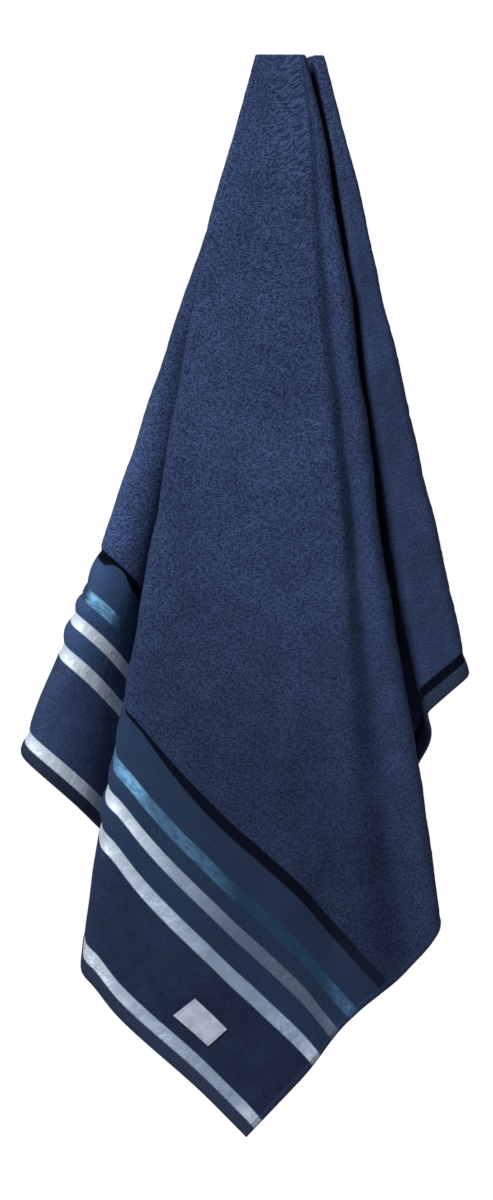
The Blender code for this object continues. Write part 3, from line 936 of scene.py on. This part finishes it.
def satin_colours(n, flat, side, angle):
    """Colour of each satin stripe: silver that shimmers in streaks along its threads, with painted highlights
    by cloth angle and toward the front selvedge, and the blue with painted highlights by cloth angle.

    The third silver stripe is dull toward the front selvedge.
    """
    streaks = n.noise(n.stretched(flat, (0.6, 1.0, 1.0)), 60.0, detail=3.0, roughness=0.6)
    threads = n.noise(n.stretched(flat, (0.05, 1.0, 1.0)), 1700.0, detail=2.0)
    shimmer = n.math("ADD", n.between(streaks, 0.3, 0.7, 0.62, 1.12),
                     n.between(threads, 0.3, 0.7, -0.06, 0.06))
    # painted highlight: the silver is lighter by cloth angle and toward the front selvedge
    painted_highlight = n.math("ADD", by_angle(n, angle, SILVER_PAINTED_HIGHLIGHT), n.between(side, 0.022, 0.006, 0.0, 0.45))
    silver = n.mix(n.math("MULTIPLY", shimmer, painted_highlight, clamp=True), SILVER_LOW, SILVER_HIGH)
    dull = n.mix(n.between(side, 0.15, 0.05), silver, SILVER_DULL)
    highlight_breakup = n.noise(n.stretched(flat, (0.35, 1.0, 1.0)), 420.0, detail=3.0, roughness=0.7)
    # painted highlight: the blue stripe is bright at some cloth angles and dark navy elsewhere
    lit = n.chain("MULTIPLY", by_angle(n, angle, BLUE_PAINTED_HIGHLIGHT), n.between(streaks, 0.34, 0.60, 0.60, 1.0),
                  n.between(highlight_breakup, 0.34, 0.56, 0.5, 1.0))
    blue = n.mix(lit, BLUE_UNLIT, BLUE_HIGHLIT)
    return {"first silver": silver, "second silver": silver, "third silver": dull, "blue stripe": blue}


def black_mask(n, end, plain_end, angle):
    """Mask of the two black stripes. The border's keeps its edge to the terry where it is narrower; its
    narrowing and lightening by cloth angle are painted sheen.
    """
    black = BAND["black stripe"]
    # painted sheen: the black stripe is narrower at some cloth angles
    width = n.math("MULTIPLY", by_angle(n, angle, BLACK_WIDTH), black.end - black.start)
    border = stripe_mask(n, end, n.math("SUBTRACT", black.end, width), black.end)
    border = n.math("MAXIMUM", border, stripe_mask(n, plain_end, PLAIN_END_HEM, PLAIN_END_STRIPE))
    return n.math("MULTIPLY", border, by_angle(n, angle, BLACK_DEPTH))


def hem_stitches(n, side, end, plain_end):
    """Mask and height of the stitches along both ends and both selvedges."""
    back_side = n.math("SUBTRACT", WIDTH, side)
    rows = [n.group(STITCHES, Across=across, Along=along, Line=line) for across, along, line in (
        (end, side, HEM_STITCHES), (plain_end, side, HEM_STITCHES),
        (side, end, SELVEDGE_STITCHES), (back_side, end, SELVEDGE_STITCHES))]
    masks = [row["Mask"] for row in rows]
    heights = [row["Height"] for row in rows]
    return n.chain("MAXIMUM", *masks), n.chain("ADD", *heights)


def towel_material():
    """Terry, flat-woven bands and satin stripes on one cloth, told apart by the distance from its ends."""
    made, n, shader, flat, side, end = cloth_material(
        "terry_and_border", roughness=0.85, sheen=0.04, sheen_tint=(0.45, 0.58, 0.85, 1.0), specular=0.05)
    plain_end = n.math("SUBTRACT", LENGTH, end)
    angle = n.math("ARCTAN2", n.math("SUBTRACT", WIDTH, side), n.math("SUBTRACT", STRIPED_REACH, end))

    hem = n.math("MAXIMUM", stripe_mask(n, end, -1.0, BAND["turned hem"].end),
                 stripe_mask(n, plain_end, -1.0, PLAIN_END_HEM))
    side_hem = n.math("MAXIMUM", stripe_mask(n, side, -1.0, SIDE_HEM),
                      stripe_mask(n, side, WIDTH - SIDE_HEM, 1.0))
    tones = satin_colours(n, flat, side, angle)
    stripes = {name: stripe_mask(n, end, BAND[name].start, BAND[name].end) for name in tones}
    satin = n.chain("MAXIMUM", *stripes.values())
    flat_woven = n.chain("MAXIMUM", hem, stripes["first silver"], stripe_mask(n, end, STRIPES_START, BORDER),
                         stripe_mask(n, plain_end, -1.0, PLAIN_END_STRIPE))

    # painted light and shade: near the striped end the pile and the navy bands are made lighter or darker by
    # cloth angle
    low = n.math("MULTIPLY", n.between(end, PAINTED_LIGHT_FROM, PAINTED_LIGHT_FULL),
                 n.math("SUBTRACT", by_angle(n, angle, PAINTED_LIGHT_AND_SHADE), 1.0))
    painted_light = n.math("ADD", low, 1.0)
    terry, pile_height = terry_pile(n, flat, side, end, painted_light)
    weave = n.group(WEAVE, Cloth=flat)
    navy = n.mix(n.between(weave["Streak"], 0.35, 0.72), FLAT_NAVY, FLAT_LIGHT)
    navy = n.mix(hem, shaded(n, navy, painted_light), HEM_NAVY)
    colour = n.mix(flat_woven, terry, navy)
    for name, tone in tones.items():
        colour = n.mix(stripes[name], colour, tone)
    colour = n.mix(black_mask(n, end, plain_end, angle), colour, NEAR_BLACK)
    colour = n.mix(n.math("MULTIPLY", side_hem, 0.55), colour, HEM_NAVY)
    thread, seams = hem_stitches(n, side, end, plain_end)
    colour = n.mix(n.math("MULTIPLY", thread, 0.6), colour, FLAT_LIGHT)
    n.feed(shader.inputs["Base Color"], colour)

    rough = n.between(flat_woven, 0.0, 1.0, TERRY_ROUGHNESS, FLAT_ROUGHNESS, smooth=False)
    n.feed(shader.inputs["Roughness"], n.math("SUBTRACT", rough, n.math("MULTIPLY", satin, SATIN_SMOOTHER)))
    n.feed(shader.inputs["Metallic"], n.math("MULTIPLY", satin, SATIN_METALLIC))

    rumpled = n.noise(flat, 105.0, detail=4.0, roughness=0.62)
    height = n.chain("ADD", n.math("MULTIPLY", pile_height, n.math("SUBTRACT", 1.0, flat_woven)),
                     n.chain("MULTIPLY", weave["Height"], flat_woven, 0.12),
                     n.math("MULTIPLY", seams, 0.35),
                     n.math("MULTIPLY", rumpled, n.between(end, BORDER, BAND["label band"].end, 1.6, 3.0)))
    n.bump(shader, height, strength=0.55, distance=0.0008)
    return made


# ---------------- the label's colours and finish
LABEL_LOW = (0.400, 0.440, 0.545, 1.0)
LABEL_HIGH = (0.530, 0.565, 0.690, 1.0)
LABEL_EDGE = 0.0007          # width of its dulled edge
LABEL_STITCHES = 0.0012      # distance of its stitches from its short sides


def label_material():
    """Pale satin tape: fine ribs along its long side, a little cloudy, with dulled edges and end stitches."""
    made, n, shader, flat, side, end = cloth_material(
        "label_satin_tape", roughness=0.5, sheen=0.10, sheen_tint=(1.0, 1.0, 1.0, 1.0), specular=0.4)
    weave = n.group(WEAVE, Cloth=flat, Threads_per_metre=3200.0, Slubs=0.35)
    cloudy = n.noise(flat, 190.0, detail=3.0)
    colour = n.mix(n.between(cloudy, 0.3, 0.7), LABEL_LOW, LABEL_HIGH)
    across = n.math("ABSOLUTE", n.math("SUBTRACT", side, LABEL_FROM_SIDE))
    up = n.math("ABSOLUTE", n.math("SUBTRACT", end, LABEL_FROM_END))
    edge = n.math("MAXIMUM", n.between(across, LABEL_LONG / 2 - LABEL_EDGE, LABEL_LONG / 2),
                  n.between(up, LABEL_SHORT / 2 - LABEL_EDGE, LABEL_SHORT / 2))
    colour = n.mix(n.math("MULTIPLY", edge, 0.35), colour, SILVER_LOW)
    sewn = n.group(STITCHES, Across=across, Along=end, Line=LABEL_LONG / 2 - LABEL_STITCHES,
                   Pitch=0.0016, Thread=0.00035)
    colour = n.mix(n.math("MULTIPLY", sewn["Mask"], 0.45), colour, SILVER_LOW)
    n.feed(shader.inputs["Base Color"], colour)
    n.feed(shader.inputs["Roughness"], n.between(weave["Streak"], 0.3, 0.7, 0.46, 0.58))
    n.bump(shader, n.math("ADD", weave["Height"], sewn["Height"]), strength=0.5, distance=0.00025)
    return made


towel_cloth.data.materials.append(towel_material())
label_tape.data.materials.append(label_material())


# ---------------- floor
def pale_floor():
    """A round pale floor under the towel that fades out, by its distance from the middle, before it ends."""
    turn, ring = np.meshgrid(np.linspace(0, 2 * np.pi, 97)[:-1], np.linspace(FLOOR_MIDDLE, FLOOR_EDGE, 12))
    points = np.stack((ring * np.cos(turn), ring * np.sin(turn), np.full(turn.shape, FLOOR_Z)), axis=-1)
    number = np.arange(turn.size).reshape(turn.shape)
    beyond = np.roll(number, -1, axis=1)
    faces = np.stack((number[:-1], number[1:], beyond[1:], beyond[:-1]), axis=-1).reshape(-1, 4).tolist()
    mesh = bpy.data.meshes.new("floor")
    mesh.from_pydata(points.reshape(-1, 3).tolist(), [], faces + [number[0].tolist()])
    made = bpy.data.materials.new("pale_floor")
    made.use_nodes = True
    n = Nodes(made.node_tree)
    shader = made.node_tree.nodes["Principled BSDF"]
    shader.inputs["Roughness"].default_value = 0.9
    shader.inputs["Specular IOR Level"].default_value = 0.1
    place = n.add("TexCoord").outputs["Object"]
    away = n.add("VectorMath", operation="LENGTH")
    level = n.add("VectorMath", operation="MULTIPLY")
    n.feed(level.inputs[0], place)
    level.inputs[1].default_value = (1.0, 1.0, 0.0)
    n.feed(away.inputs[0], level.outputs[0])
    n.feed(shader.inputs["Alpha"], n.between(away.outputs["Value"], FLOOR_GONE, FLOOR_CLEAR))
    mottled = n.noise(place, 3.0)
    n.feed(shader.inputs["Base Color"],
           n.mix(mottled, (0.86, 0.87, 0.88, 1.0), (0.90, 0.90, 0.90, 1.0)))
    mesh.materials.append(made)
    placed("floor", mesh)


pale_floor()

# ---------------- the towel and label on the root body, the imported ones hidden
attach(towel_cloth, "root")
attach(label_tape, "root")
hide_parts("towel")
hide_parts("label")
